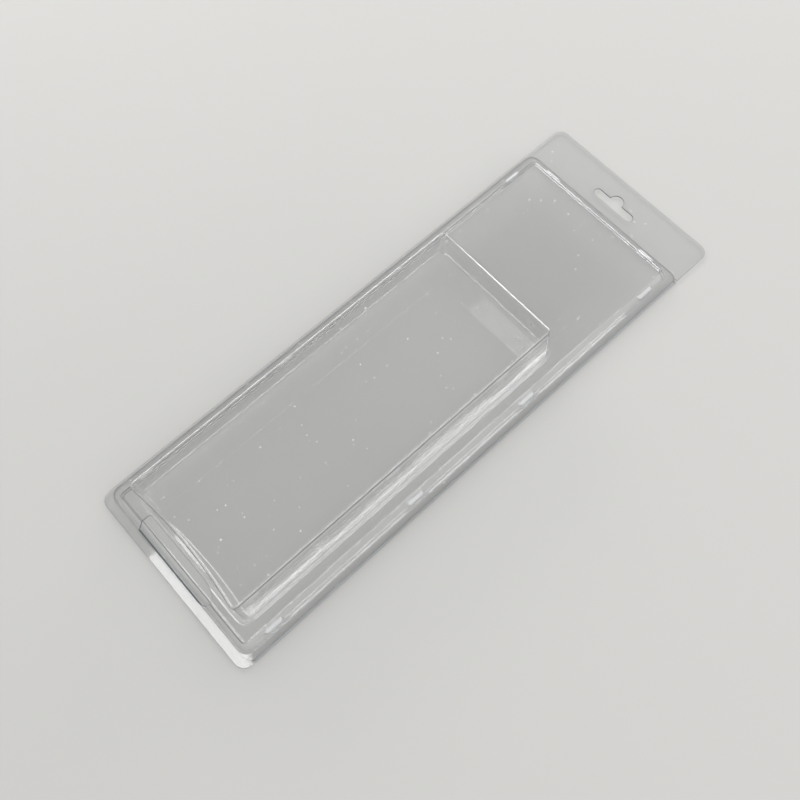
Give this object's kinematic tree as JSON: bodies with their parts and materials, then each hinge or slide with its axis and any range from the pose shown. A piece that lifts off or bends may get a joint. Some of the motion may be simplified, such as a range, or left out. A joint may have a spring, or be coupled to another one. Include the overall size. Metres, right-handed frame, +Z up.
{
  "type": "card protector case",
  "caption": "Clear folding protector case for a carded item, with a deep bubble, a shallow card recess, a snap-in tray, a finger notch and a header with a hang slot.",
  "frame": {"origin": "centre of the case's footprint, on the surface that the tray lies on", "axes": "+Z up, out of the bubble; +Y along the length, towards the header with the hang slot; +X towards the folded long side"},
  "size_m": [0.127, 0.371, 0.0393],
  "materials": {
    "clear_sheet": "clear glossy plastic sheet, lightly dusty and scuffed"
  },
  "bodies": {
    "back": {"tray": "clear_sheet"},
    "front": {"front_shell": "clear_sheet"}
  },
  "joints": [
    {"name": "fold_hinge", "type": "hinge", "parent": "back", "child": "front", "pos_m": [0.0629, 0, 0.0006], "axis": [0, 1, 0], "range_deg": [0, 180]}
  ]
}
